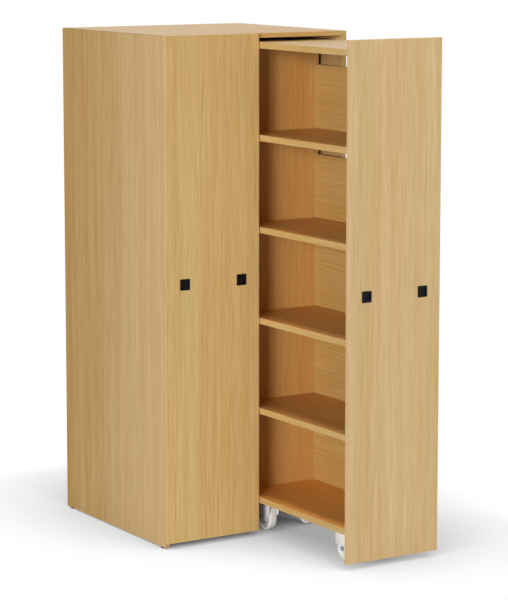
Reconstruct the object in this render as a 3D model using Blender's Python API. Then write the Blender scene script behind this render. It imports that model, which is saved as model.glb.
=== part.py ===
"""Tall office cabinet with two pull-out shelf units that roll on castors.

A carcass of two side panels, a top and a back stands on four glides and has no
floor of its own. Two shelf units, one the mirror image of the other, stand side
by side inside it on four fixed castors each, and a block on top of each unit runs
in a channel under the carcass top. Each unit's front panel covers half of the
carcass. The left unit is closed and the right one is pulled out.

Metres, +Z up. The origin is on the floor, under the middle of the whole part as
it stands, and +Y runs from the fronts to the back.
"""
import math

import bmesh
import bpy
from mathutils import Matrix, Vector

# Cabinet as a whole
OVERALL_HEIGHT = 1.950
CARCASS_WIDTH = 0.820
CARCASS_DEPTH = 0.800
PANEL = 0.018                    # every upright board, and the carcass top
EDGE_CHAMFER = 0.0008            # along the edge banding
TOUCH = 0.0003                   # between two faces that rest on each other
OVERRUN = 0.005                  # how far a cutter runs out past what it cuts

# Glides under the side panels
GLIDE_HEIGHT = 0.006
GLIDE_DIAMETER = 0.018
GLIDE_FROM_EDGE = 0.030          # its middle, from the panel's front or rear edge
GLIDE_STEM_DIAMETER = 0.007
GLIDE_STEM_LENGTH = 0.020
GLIDE_SIDES = 16

# Fronts
FRONT_TO_CARCASS = 0.002         # behind a closed front
FRONT_TO_FRONT = 0.003           # between the two fronts
FRONT_ABOVE_FLOOR = 0.025
PULL_SIZE = 0.043                # square flush pull
PULL_FROM_EDGE = 0.0795          # its middle, from the front's left or right edge
PULL_LEVEL_SHARE = 0.515         # its middle, of the front's height
PULL_FLANGE = 0.0015             # stands proud of the front
PULL_LIP = 0.0035                # flange outside the body
PULL_DEPTH = 0.008               # body in the front's pocket
PULL_WALL = 0.0015
PULL_RIM = 0.002                 # the mouth is this much smaller all round than the cup
PULL_CORNER = 0.003

# Body of a pull-out unit
BOARD = 0.024                    # shelves, and the top and bottom boards
COMPARTMENTS = 5
TOP_GAP = 0.015                  # top board to the carcass top
SIDE_GAP = 0.026                 # body to the carcass side
REAR_GAP = 0.032                 # body to the carcass back
OPEN_EDGE_INSET = 0.0015         # boards behind the front's edge, on the open side
SIDE_BOARD_GAP = 0.078           # between a side board and the board above it

# Guide at the top of a unit
CHANNEL_WIDTH = 0.025
CHANNEL_HEIGHT = 0.012
CHANNEL_WALL = 0.0015
CHANNEL_FROM_FRONT = 0.020       # its closed front end stops the block
CHANNEL_FROM_BACK = 0.010
BLOCK_LENGTH = 0.050
BLOCK_FROM_REAR = 0.010          # from the rear end of the top board
BLOCK_SIDE_PLAY = 0.0004
BLOCK_TOP_PLAY = 0.0015
STOP_PLAY = 0.0005
PULLED_OUT_SHARE = 0.93          # of the travel, where the right unit stands

# Fixed castors
WHEEL_DIAMETER = 0.100
WHEEL_WIDTH = 0.032
TREAD_ROUND = 0.006
RIM_DEPTH = 0.013                # from the tread to the sunk web
WEB_THICKNESS = 0.016
HUB_DIAMETER = 0.032
HUB_LENGTH = 0.038
HUB_PLAY = 0.001                 # hub to fork leg
AXLE_DIAMETER = 0.010
AXLE_PLAY = 0.0004
AXLE_SIDES = 14                  # half as many as the wheel's bore
AXLE_HEAD = 0.016                # across the flats of its head and nut
AXLE_HEAD_HEIGHT = 0.006
PLATE_LENGTH = 0.100
PLATE_WIDTH = 0.084
PLATE = 0.003                    # sheet of the plate and the fork
LEG_TOP_LENGTH = 0.098
LEG_STRAIGHT = 0.064             # the leg's edges start upright, then taper
LEG_END_RADIUS = 0.015           # round the axle
CROWN_ROOM = 0.027               # wheel to the fork's crown
CASTOR_FROM_SIDE = 0.087         # wheel's middle, from either side of the body
CASTOR_FROM_FRONT = 0.108        # axle, from the front's rear face
CASTOR_FROM_REAR = 0.078         # axle, from the rear panel's outer face
WHEEL_SIDES = 28
SMOOTH_ANGLE = math.radians(35)
SCREW_DIAMETER = 0.006
SCREW_HEAD_DIAMETER = 0.012
SCREW_HEAD_HEIGHT = 0.003
SCREW_LENGTH = 0.016             # in the board
SCREW_FROM_PLATE_EDGE = 0.010
SCREW_SIDES = 8

# Places that follow from the sizes above
FRONT_WIDTH = (CARCASS_WIDTH - FRONT_TO_FRONT) / 2
FRONT_HEIGHT = OVERALL_HEIGHT - FRONT_ABOVE_FLOOR
PULL_LEVEL = FRONT_ABOVE_FLOOR + FRONT_HEIGHT * PULL_LEVEL_SHARE
SIDE_PANEL_HEIGHT = OVERALL_HEIGHT - GLIDE_HEIGHT
TOP_UNDERSIDE = OVERALL_HEIGHT - PANEL
CASTOR_HEIGHT = WHEEL_DIAMETER + CROWN_ROOM + 2 * PLATE
BODY_WIDTH = FRONT_WIDTH - PANEL - SIDE_GAP - OPEN_EDGE_INSET
BODY_DEPTH = CARCASS_DEPTH + FRONT_TO_CARCASS - 2 * PANEL - REAR_GAP
BODY_TOP = TOP_UNDERSIDE - TOP_GAP
BODY_UNDERSIDE = CASTOR_HEIGHT
BOARD_PITCH = (BODY_TOP - BOARD - BODY_UNDERSIDE) / COMPARTMENTS
SIDE_BOARD_HEIGHT = BOARD_PITCH - BOARD - SIDE_BOARD_GAP
BLOCK_FRONT = BODY_DEPTH - BLOCK_FROM_REAR - BLOCK_LENGTH
TRAVEL = BLOCK_FRONT - FRONT_TO_CARCASS - CHANNEL_FROM_FRONT - CHANNEL_WALL - STOP_PLAY
PULLED_OUT = TRAVEL * PULLED_OUT_SHARE
FORK_ROOM = HUB_LENGTH + 2 * HUB_PLAY
# the carcass's front edges, so that the origin is under the middle of the whole part
CARCASS_FRONT = (FRONT_TO_CARCASS + PANEL + TOUCH + PULL_FLANGE + PULLED_OUT - CARCASS_DEPTH) / 2
CARCASS_BACK = CARCASS_FRONT + CARCASS_DEPTH

BEECH = ("beech", (0.62, 0.42, 0.22), 0.45, 0.0)
BEECH_INSIDE = ("beech_inside", (0.55, 0.34, 0.16), 0.5, 0.0)
BLACK_PLASTIC = ("black_plastic", (0.015, 0.016, 0.02), 0.45, 0.0)
WHITE_PLASTIC = ("white_plastic", (0.75, 0.75, 0.74), 0.4, 0.0)
WHITE_STEEL = ("white_steel", (0.8, 0.81, 0.82), 0.35, 0.3)
ALUMINIUM = ("aluminium", (0.03, 0.03, 0.032), 0.4, 1.0)   # black anodised


def clear_scene():
    for thing in list(bpy.data.objects):
        bpy.data.objects.remove(thing, do_unlink=True)


def material(kind):
    name, colour, roughness, metallic = kind
    found = bpy.data.materials.get(name)
    if found:
        return found
    made = bpy.data.materials.new(name)
    made.use_nodes = True
    made.diffuse_color = (*colour, 1)
    shader = made.node_tree.nodes["Principled BSDF"]
    shader.inputs["Base Color"].default_value = (*colour, 1)
    shader.inputs["Roughness"].default_value = roughness
    shader.inputs["Metallic"].default_value = metallic
    return made


def add_empty(name, at, parent=None):
    made = bpy.data.objects.new(name, None)
    made.location = at
    made.parent = parent
    bpy.context.scene.collection.objects.link(made)
    return made


def add_object(name, bm, kind, at, parent=None, smooth=None):
    """The object of a finished bmesh, at its place under its parent."""
    bmesh.ops.recalc_face_normals(bm, faces=bm.faces)
    mesh = bpy.data.meshes.new(name)
    bm.to_mesh(mesh)
    bm.free()
    if smooth:
        mesh.shade_smooth()
        mesh.set_sharp_from_angle(angle=smooth)
    made = bpy.data.objects.new(name, mesh)
    mesh.materials.append(material(kind))
    made.location = at
    made.parent = parent
    bpy.context.scene.collection.objects.link(made)
    return made


def copy_of(source, name, at, parent):
    """Another object on the same mesh."""
    made = source.copy()
    made.name = name
    made.location = at
    made.parent = parent
    bpy.context.scene.collection.objects.link(made)
    return made


def carve(target, *steps):
    """Join on or cut away shapes given in the target's own frame, one after another."""
    tools = []
    for operation, bm in steps:
        tool = add_object("tool", bm, ALUMINIUM, target.location, target.parent)
        tools.append(tool)
        change = target.modifiers.new(operation.lower(), "BOOLEAN")
        change.operation = operation
        change.solver = "EXACT"
        change.object = tool
    depsgraph = bpy.context.evaluated_depsgraph_get()
    mesh = bpy.data.meshes.new_from_object(target.evaluated_get(depsgraph))
    mesh.name = target.name
    mesh.materials.clear()
    mesh.materials.append(target.data.materials[0])
    target.modifiers.clear()
    target.data = mesh
    for tool in tools:
        bpy.data.objects.remove(tool, do_unlink=True)
    return target


def cuboid(bm, low, high):
    """A box between two corners, added to bm."""
    low, high = Vector(low), Vector(high)
    at = Matrix.Translation((low + high) / 2) @ Matrix.Diagonal((*(high - low), 1))
    return bmesh.ops.create_cube(bm, size=1, matrix=at)["verts"]


def cylinder(bm, sides, radius, start, end):
    """A closed cylinder from start to end, a corner of it pointing down or to the side."""
    start, end = Vector(start), Vector(end)
    along = end - start
    turn = along.to_track_quat("Z", "Y").to_matrix().to_4x4()
    at = Matrix.Translation((start + end) / 2) @ turn
    return bmesh.ops.create_cone(bm, cap_ends=True, segments=sides, radius1=radius,
                                 radius2=radius, depth=along.length, matrix=at)["verts"]


def prism(bm, outline, start, depth):
    """An outline in the YZ plane at x = start, extruded by depth along X."""
    face = bm.faces.new([bm.verts.new((start, y, z)) for y, z in outline])
    grown = bmesh.ops.extrude_face_region(bm, geom=[face])["geom"]
    moved = [item for item in grown if isinstance(item, bmesh.types.BMVert)]
    bmesh.ops.translate(bm, verts=moved, vec=(depth, 0, 0))


def arc(centre, radius, start, end, steps):
    """Points of an arc in a plane, from one angle to another."""
    return [(centre[0] + radius * math.cos(start + (end - start) * step / steps),
             centre[1] + radius * math.sin(start + (end - start) * step / steps))
            for step in range(steps + 1)]


def chamfer(target, width=EDGE_CHAMFER, segments=1):
    bevel = target.modifiers.new("edges", "BEVEL")
    bevel.width = width
    bevel.segments = segments
    bevel.limit_method = "ANGLE"
    return target


def panel(name, kind, low, high, parent=None):
    """A board between two corners, its origin in its middle, with chamfered edges."""
    low, high = Vector(low), Vector(high)
    middle = (low + high) / 2
    bm = bmesh.new()
    cuboid(bm, low - middle, high - middle)
    return chamfer(add_object(name, bm, kind, middle, parent))


# Carcass

def glide_places(side):
    """The middle of each glide of one side panel, on the floor."""
    x = side * (CARCASS_WIDTH - PANEL) / 2
    for name, y in (("front", CARCASS_FRONT + GLIDE_FROM_EDGE),
                    ("rear", CARCASS_BACK - GLIDE_FROM_EDGE)):
        yield name, Vector((x, y, 0))


def glide_stem(radius, length, feet):
    """Stems that stand up from inside the glide pads at feet."""
    bm = bmesh.new()
    for foot in feet:
        cylinder(bm, GLIDE_SIDES, radius, foot + Vector((0, 0, GLIDE_HEIGHT / 2)),
                 foot + Vector((0, 0, GLIDE_HEIGHT + length)))
    return bm


def build_side_panel(name, side, carcass):
    outer = side * CARCASS_WIDTH / 2
    inner = outer - side * PANEL
    made = panel("side_panel_" + name, BEECH,
                 (min(outer, inner), CARCASS_FRONT, GLIDE_HEIGHT),
                 (max(outer, inner), CARCASS_BACK, OVERALL_HEIGHT), carcass)
    feet = [foot - made.location for _, foot in glide_places(side)]
    carve(made, ("DIFFERENCE", glide_stem(GLIDE_STEM_DIAMETER / 2 + TOUCH,
                                          GLIDE_STEM_LENGTH + TOUCH, feet)))
    for place, foot in glide_places(side):
        pad = bmesh.new()
        cylinder(pad, GLIDE_SIDES, GLIDE_DIAMETER / 2, (0, 0, 0), (0, 0, GLIDE_HEIGHT - TOUCH))
        glide = add_object(f"glide_{place}_{name}", pad, BLACK_PLASTIC, foot, carcass)
        carve(glide, ("UNION", glide_stem(GLIDE_STEM_DIAMETER / 2, GLIDE_STEM_LENGTH,
                                          [Vector((0, 0, 0))])))


def channel_middle(side):
    """Across the cabinet, each channel is over the middle of its unit's body."""
    return side * (FRONT_TO_FRONT / 2 + OPEN_EDGE_INSET + BODY_WIDTH / 2)


def build_channel(name, side, carcass):
    middle = channel_middle(side)
    top = TOP_UNDERSIDE - TOUCH
    front, back = CARCASS_FRONT + CHANNEL_FROM_FRONT, CARCASS_BACK - PANEL - CHANNEL_FROM_BACK
    outside, inside = bmesh.new(), bmesh.new()
    cuboid(outside, (middle - CHANNEL_WIDTH / 2, front, top - CHANNEL_HEIGHT),
           (middle + CHANNEL_WIDTH / 2, back, top))
    cuboid(inside, (middle - CHANNEL_WIDTH / 2 + CHANNEL_WALL, front + CHANNEL_WALL,
                    top - CHANNEL_HEIGHT - OVERRUN),
           (middle + CHANNEL_WIDTH / 2 - CHANNEL_WALL, back + OVERRUN, top - CHANNEL_WALL))
    carve(add_object(name, outside, ALUMINIUM, (0, 0, 0), carcass), ("DIFFERENCE", inside))


def build_carcass():
    carcass = add_empty("carcass", (0, 0, 0))
    for name, side in (("left", -1), ("right", 1)):
        build_side_panel(name, side, carcass)
        build_channel("guide_channel_" + name, side, carcass)
    inner = CARCASS_WIDTH / 2 - PANEL - TOUCH
    panel("top_panel", BEECH, (-inner, CARCASS_FRONT, TOP_UNDERSIDE),
          (inner, CARCASS_BACK, OVERALL_HEIGHT), carcass)
    panel("back_panel", BEECH, (-inner, CARCASS_BACK - PANEL, GLIDE_HEIGHT),
          (inner, CARCASS_BACK, TOP_UNDERSIDE - TOUCH), carcass)


# Pull-out units. In a unit's own frame x runs from its open edge towards the carcass
# side, y backwards from the front panel's rear face, and z up from the floor.

class Unit:
    """One pull-out unit: its parent empty, and the mirroring of its own x."""

    def __init__(self, name, side, pulled_out):
        self.name = name
        self.side = side
        self.edge = side * (FRONT_TO_FRONT / 2 + OPEN_EDGE_INSET)
        self.parent = add_empty(name + "_pullout",
                                (0, CARCASS_FRONT - FRONT_TO_CARCASS - pulled_out, 0))

    def at(self, x, y, z):
        return Vector((self.edge + self.side * x, y, z))

    def panel(self, name, kind, low, high):
        corners = [self.at(*low), self.at(*high)]
        lowest = [min(pair) for pair in zip(*corners)]
        highest = [max(pair) for pair in zip(*corners)]
        return panel(self.name + "_" + name, kind, lowest, highest, self.parent)


def rounded_square(half, corner, steps=3):
    """Outline of a square with rounded corners, round the origin."""
    points = []
    for quarter in range(4):
        turn = quarter * math.pi / 2
        cx, cz = ((half - corner) * value for value in
                  (math.sqrt(2) * math.cos(turn + math.pi / 4),
                   math.sqrt(2) * math.sin(turn + math.pi / 4)))
        points += arc((cx, cz), corner, turn, turn + math.pi / 2, steps)
    return points


def slab(bm, outline, front, back):
    """An outline in the XZ plane, from y = front to y = back."""
    face = bm.faces.new([bm.verts.new((x, front, z)) for x, z in outline])
    grown = bmesh.ops.extrude_face_region(bm, geom=[face])["geom"]
    moved = [item for item in grown if isinstance(item, bmesh.types.BMVert)]
    bmesh.ops.translate(bm, verts=moved, vec=(0, back - front, 0))


def pull_places(unit):
    """The middle of each pull on the front panel's outer face."""
    open_edge = -OPEN_EDGE_INSET
    for number, x in ((1, open_edge + PULL_FROM_EDGE),
                      (2, open_edge + FRONT_WIDTH - PULL_FROM_EDGE)):
        yield number, unit.at(x, -PANEL, PULL_LEVEL)


def build_pull(unit, number, middle):
    """A square cup with a flange that stands on the front, and a mouth with a rim."""
    name = f"{unit.name}_pull_{number}"
    body = PULL_SIZE / 2 - PULL_LIP
    flange, cup, hollow, mouth = (bmesh.new() for _ in range(4))
    slab(flange, rounded_square(PULL_SIZE / 2, PULL_CORNER), -PULL_FLANGE - TOUCH, -TOUCH)
    slab(cup, rounded_square(body, PULL_CORNER), -PULL_FLANGE / 2, PULL_DEPTH)
    slab(hollow, rounded_square(body - PULL_WALL, PULL_CORNER - PULL_WALL), 0,
         PULL_DEPTH - PULL_WALL)
    slab(mouth, rounded_square(body - PULL_WALL - PULL_RIM, PULL_CORNER - PULL_WALL),
         -PULL_FLANGE - OVERRUN, PULL_DEPTH - 2 * PULL_WALL)
    carve(add_object(name, flange, BLACK_PLASTIC, middle, unit.parent),
          ("UNION", cup), ("DIFFERENCE", hollow), ("DIFFERENCE", mouth))


def build_front(unit):
    front = unit.panel("front_panel", BEECH, (-OPEN_EDGE_INSET, -PANEL, FRONT_ABOVE_FLOOR),
                       (FRONT_WIDTH - OPEN_EDGE_INSET, 0, OVERALL_HEIGHT))
    pockets = bmesh.new()
    for number, middle in pull_places(unit):
        build_pull(unit, number, middle)
        at = middle - front.location
        outline = [(x + at.x, z + at.z) for x, z in
                   rounded_square(PULL_SIZE / 2 - PULL_LIP + TOUCH, PULL_CORNER)]
        slab(pockets, outline, at.y - OVERRUN, at.y + PULL_DEPTH + TOUCH)
    carve(front, ("DIFFERENCE", pockets))


def board_underside(number):
    """Board 0 is the bottom board and the last one is the top board."""
    return BODY_UNDERSIDE + number * BOARD_PITCH


def castor_places():
    """The axle's middle over the floor, front to back on each side of the body."""
    for across, x in (("open", CASTOR_FROM_SIDE), ("side", BODY_WIDTH - CASTOR_FROM_SIDE)):
        for along, y in (("front", CASTOR_FROM_FRONT), ("rear", BODY_DEPTH + PANEL - CASTOR_FROM_REAR)):
            yield f"{along}_{across}", x, y


def add_screws(bm, middle, low, radius, high):
    """Upright cylinders at the four screws of one castor plate, from low to high."""
    for x in (-1, 1):
        for y in (-1, 1):
            at = middle + Vector((x * (PLATE_WIDTH / 2 - SCREW_FROM_PLATE_EDGE),
                                  y * (PLATE_LENGTH / 2 - SCREW_FROM_PLATE_EDGE), 0))
            cylinder(bm, SCREW_SIDES, radius, at + Vector((0, 0, low)), at + Vector((0, 0, high)))


def build_boards(unit):
    for number in range(COMPARTMENTS + 1):
        low = board_underside(number)
        name = {0: "bottom_board", COMPARTMENTS: "top_board"}.get(number, f"shelf_{number}")
        board = unit.panel(name, BEECH_INSIDE, (0, TOUCH, low),
                           (BODY_WIDTH, BODY_DEPTH - TOUCH, low + BOARD))
        if number == 0:
            bores = bmesh.new()
            for _, x, y in castor_places():
                middle = unit.at(x, y, low) - board.location
                add_screws(bores, middle, -OVERRUN, SCREW_DIAMETER / 2 + TOUCH,
                           SCREW_LENGTH + TOUCH)
            carve(board, ("DIFFERENCE", bores))
        if number < COMPARTMENTS:
            unit.panel(f"side_board_{number + 1}", BEECH_INSIDE,
                       (BODY_WIDTH - PANEL, TOUCH, low + BOARD + TOUCH),
                       (BODY_WIDTH, BODY_DEPTH - TOUCH, low + BOARD + SIDE_BOARD_HEIGHT))
    unit.panel("rear_panel", BEECH_INSIDE, (0, BODY_DEPTH, BODY_UNDERSIDE),
               (BODY_WIDTH, BODY_DEPTH + PANEL, BODY_TOP))


def build_guide_block(unit):
    """A block with rounded ends on the top board, inside the channel."""
    half = CHANNEL_WIDTH / 2 - CHANNEL_WALL - BLOCK_SIDE_PLAY
    low = BODY_TOP + TOUCH
    high = TOP_UNDERSIDE - TOUCH - CHANNEL_WALL - BLOCK_TOP_PLAY
    near, far = BLOCK_FRONT + half, BLOCK_FRONT + BLOCK_LENGTH - half
    outline = (arc((0, near), half, math.pi, 2 * math.pi, 6) + arc((0, far), half, 0, math.pi, 6))
    bm = bmesh.new()
    face = bm.faces.new([bm.verts.new((x, y, low)) for x, y in outline])
    grown = bmesh.ops.extrude_face_region(bm, geom=[face])["geom"]
    moved = [item for item in grown if isinstance(item, bmesh.types.BMVert)]
    bmesh.ops.translate(bm, verts=moved, vec=(0, 0, high - low))
    add_object(unit.name + "_guide_block", bm, WHITE_PLASTIC,
               (unit.at(BODY_WIDTH / 2, 0, 0).x, 0, 0), unit.parent)


# Castors, each in a frame with its origin in the middle of the axle

def leg_outline():
    """A fork leg from the crown down, tapering to a round end about the axle."""
    top = CROWN_ROOM + WHEEL_DIAMETER / 2 + PLATE
    half = LEG_TOP_LENGTH / 2
    corner = Vector((half, top - LEG_STRAIGHT))
    # the taper's line touches the round end
    slope = math.atan2(corner.y, corner.x)
    touch = slope - math.acos(LEG_END_RADIUS / corner.length)
    return ([(half, top), (half, corner.y)]
            + arc((0, 0), LEG_END_RADIUS, touch, -math.pi - touch, 10)
            + [(-half, corner.y), (-half, top)])


def build_fork(name, middle, parent):
    """Plate, bent fork, axle bolt and plate screws of one castor, as one fixed piece."""
    plate, bent, room, axle, ends, screws, heads = (bmesh.new() for _ in range(7))
    top = CASTOR_HEIGHT - WHEEL_DIAMETER / 2 - TOUCH
    outer = FORK_ROOM / 2 + PLATE
    cuboid(plate, (-PLATE_WIDTH / 2, -PLATE_LENGTH / 2, top - PLATE),
           (PLATE_WIDTH / 2, PLATE_LENGTH / 2, top))
    prism(bent, leg_outline(), -outer, 2 * outer)
    cuboid(room, (-FORK_ROOM / 2, -LEG_TOP_LENGTH, -LEG_END_RADIUS - OVERRUN),
           (FORK_ROOM / 2, LEG_TOP_LENGTH, top - 2 * PLATE))
    cylinder(axle, AXLE_SIDES, AXLE_DIAMETER / 2, (-outer - AXLE_HEAD_HEIGHT / 2, 0, 0),
             (outer + AXLE_HEAD_HEIGHT / 2, 0, 0))
    for side in (-1, 1):
        cylinder(ends, 6, AXLE_HEAD / math.sqrt(3), (side * (outer - PLATE / 2), 0, 0),
                 (side * (outer + AXLE_HEAD_HEIGHT), 0, 0))
    add_screws(screws, Vector(), top - PLATE / 2, SCREW_DIAMETER / 2, top + SCREW_LENGTH)
    add_screws(heads, Vector(), top - PLATE - SCREW_HEAD_HEIGHT, SCREW_HEAD_DIAMETER / 2,
               top - PLATE / 2)
    fork = add_object(name, plate, WHITE_STEEL, middle, parent)
    return carve(fork, ("UNION", bent), ("DIFFERENCE", room), ("UNION", axle), ("UNION", ends),
                 ("UNION", screws), ("UNION", heads))


def wheel_mesh():
    """A white one-piece wheel, turned about the axle: tread, rim, sunk web and hub."""
    radius, half = WHEEL_DIAMETER / 2, WHEEL_WIDTH / 2
    web, hub = WEB_THICKNESS / 2, HUB_LENGTH / 2
    rim = radius - RIM_DEPTH
    side = [(AXLE_DIAMETER / 2 + AXLE_PLAY, hub), (HUB_DIAMETER / 2, hub),
            (HUB_DIAMETER / 2, web), (rim, web), (rim + (half - web) / 2, half)]
    side += [(r, x) for x, r in arc((half - TREAD_ROUND, radius - TREAD_ROUND),
                                    TREAD_ROUND, 0, math.pi / 2, 1)]
    profile = [(x, r) for r, x in side] + [(-x, r) for r, x in reversed(side)]
    bm = bmesh.new()
    corners = [bm.verts.new((x, 0, -r)) for x, r in profile]
    edges = [bm.edges.new(pair) for pair in zip(corners, corners[1:] + corners[:1])]
    bmesh.ops.spin(bm, geom=corners + edges, cent=(0, 0, 0), axis=(1, 0, 0),
                   angle=2 * math.pi, steps=WHEEL_SIDES, use_merge=False, use_duplicate=False)
    bmesh.ops.remove_doubles(bm, verts=bm.verts, dist=TOUCH / 10)
    return bm


def build_castors(unit, shared):
    """Four castors. Every fork has one mesh and every wheel another, shared by both units."""
    for place, x, y in castor_places():
        middle = unit.at(x, y, WHEEL_DIAMETER / 2)
        name = f"{unit.name}_castor_{place}"
        if not shared:
            shared["fork"] = build_fork(name + "_fork", middle, unit.parent)
            shared["wheel"] = add_object(name + "_wheel", wheel_mesh(), WHITE_PLASTIC, middle,
                                         unit.parent, smooth=SMOOTH_ANGLE)
        else:
            for piece, source in shared.items():
                copy_of(source, f"{name}_{piece}", middle, unit.parent)


def build_unit(name, side, pulled_out, castors):
    unit = Unit(name, side, pulled_out)
    build_front(unit)
    build_boards(unit)
    build_guide_block(unit)
    build_castors(unit, castors)


clear_scene()
build_carcass()
castors = {}
build_unit("left", -1, 0, castors)
build_unit("right", 1, PULLED_OUT, castors)
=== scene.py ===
"""Looks of a tall beech cabinet whose two shelf units pull out side by side on castors.

The boards and guide channels keep their modelled solids and get a finish whose grain
follows each board. The pulls, castors, glides and guide blocks are made here again with
their rounded edges, at the sizes and places of the solids that they stand for.
Everything is in metres, +Z up, in the frame of the packed model.
"""

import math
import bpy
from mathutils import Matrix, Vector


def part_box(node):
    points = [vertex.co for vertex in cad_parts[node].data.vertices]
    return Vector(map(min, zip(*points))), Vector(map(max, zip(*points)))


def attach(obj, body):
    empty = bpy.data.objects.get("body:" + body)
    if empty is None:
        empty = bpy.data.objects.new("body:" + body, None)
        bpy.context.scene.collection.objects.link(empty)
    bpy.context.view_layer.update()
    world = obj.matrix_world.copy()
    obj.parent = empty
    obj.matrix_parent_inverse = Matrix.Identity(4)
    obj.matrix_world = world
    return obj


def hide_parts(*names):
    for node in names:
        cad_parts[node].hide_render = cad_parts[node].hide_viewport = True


bl_info = {
    "name": "Pull-out cabinet",
    "version": (1, 0, 0),
    "blender": (4, 5, 0),
    "location": "3D View > Sidebar > Cabinet",
    "description": "Finishes and fittings of a beech cabinet with two pull-out shelf units",
    "category": "Object",
}

import bmesh
import bpy
from bpy.props import FloatProperty, FloatVectorProperty, IntProperty, PointerProperty
from mathutils import Vector

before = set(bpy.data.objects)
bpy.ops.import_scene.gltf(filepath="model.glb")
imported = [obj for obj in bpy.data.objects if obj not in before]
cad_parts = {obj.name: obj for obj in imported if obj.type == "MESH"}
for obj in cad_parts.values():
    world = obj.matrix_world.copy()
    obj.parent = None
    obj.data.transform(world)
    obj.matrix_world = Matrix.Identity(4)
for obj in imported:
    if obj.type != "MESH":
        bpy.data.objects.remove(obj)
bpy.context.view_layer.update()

UNITS = ("left", "right")
CASTORS = ("front_open", "front_side", "rear_open", "rear_side")
X, Y, Z = 0, 1, 2
MM = 0.001
PAST = 5 * MM                    # how far a shape reaches past what it cuts or is cut by
MEET = 0.2 * MM                  # how far joined shapes reach into each other


def srgb(red, green, blue):
    """The linear colour of 0 to 255 screen values."""
    shares = (red / 255, green / 255, blue / 255)
    return tuple(s / 12.92 if s <= 0.04045 else ((s + 0.055) / 1.055) ** 2.4 for s in shares)


def times(colour, *factors):
    """A colour made lighter or darker, by one factor or by one for each channel."""
    factors = factors * 3 if len(factors) == 1 else factors
    return tuple(part * factor for part, factor in zip(colour, factors))


# What a user would change

def a_length(**settings):
    """A property in metres."""
    return FloatProperty(subtype="DISTANCE", unit="LENGTH", **settings)


def an_angle(**settings):
    """A property in radians, shown in degrees."""
    return FloatProperty(subtype="ANGLE", **settings)


def a_share(**settings):
    """A property from 0 to 1."""
    return FloatProperty(subtype="FACTOR", min=0, max=1, **settings)


def a_colour(**settings):
    """A property with a linear colour."""
    return FloatVectorProperty(subtype="COLOR", min=0, max=1, **settings)


class BeechLook(bpy.types.PropertyGroup):
    """The beech laminate of the boards"""

    carcass: a_colour(
        name="Carcass", description="Mean colour of the carcass boards",
        default=srgb(193, 155, 95))
    left_front: a_colour(
        name="Left front", description="Mean colour of the left front panel",
        default=srgb(204, 168, 108))
    right_front: a_colour(
        name="Right front", description="Mean colour of the right front panel",
        default=srgb(211, 179, 129))
    banding: a_colour(
        name="Banding", description="Mean colour of the shelves' edges",
        default=srgb(206, 171, 110))
    inside: a_colour(
        name="Inside", description="Mean colour of the boards of the pull-out units",
        default=srgb(202, 156, 94))
    contrast: FloatProperty(
        name="Contrast", description="How far streaks depart from the mean colour",
        min=0, max=4, default=1.0)
    lightness_steps: FloatVectorProperty(
        name="Lightness", description="What a pale streak adds to red, green and blue",
        subtype="XYZ", default=(0.085, 0.116, 0.24))
    tone_steps: FloatVectorProperty(
        name="Tone", description="What a pale band adds to red, green and blue",
        subtype="XYZ", default=(0.025, 0.055, 0.11))
    wander: a_length(
        name="Wander", description="How far the grain strays from a straight line",
        min=0, max=0.1, default=0.0035)
    hue_steps: FloatVectorProperty(
        name="Hue", description="What a yellow streak adds to red, green and blue",
        subtype="XYZ", default=(-0.016, 0.01, 0.008))
    streak: a_length(
        name="Streak", description="Width of one streak of the grain",
        min=0.001, max=0.1, default=0.008)
    arch: a_length(
        name="Arch", description="Distance between the growth rings that form arches",
        min=0.001, max=0.2, default=0.017)
    arch_slope: FloatProperty(
        name="Arch slope", description="Rise of the growth rings along the board",
        min=0, max=1, default=0.05)
    roughness: a_share(
        name="Roughness", description="Roughness of the satin laminate", default=0.4)


class FittingLook(bpy.types.PropertyGroup):
    """Plastic and metal of the fittings"""

    # the pulls and glides are black; the guide blocks take this black too as painted shade, so
    # that they sink into the dark gap under the top
    black_plastic: a_colour(
        name="Black plastic", description="Colour of the pulls, glides and guide blocks",
        default=srgb(11, 11, 13))
    white_plastic: a_colour(
        name="White plastic", description="Colour of the castor wheels",
        default=srgb(243, 243, 240))
    white_paint: a_colour(
        name="White paint", description="Colour of the castor forks",
        default=srgb(244, 246, 249))
    zinc: a_colour(
        name="Zinc", description="Colour of the axle bolts and screws",
        default=srgb(178, 180, 184))
    # painted shade: near black so that the channels sink into the dark gap under the top
    aluminium: a_colour(
        name="Aluminium", description="Colour of the black anodised guide channels",
        default=srgb(20, 19, 19))


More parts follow.
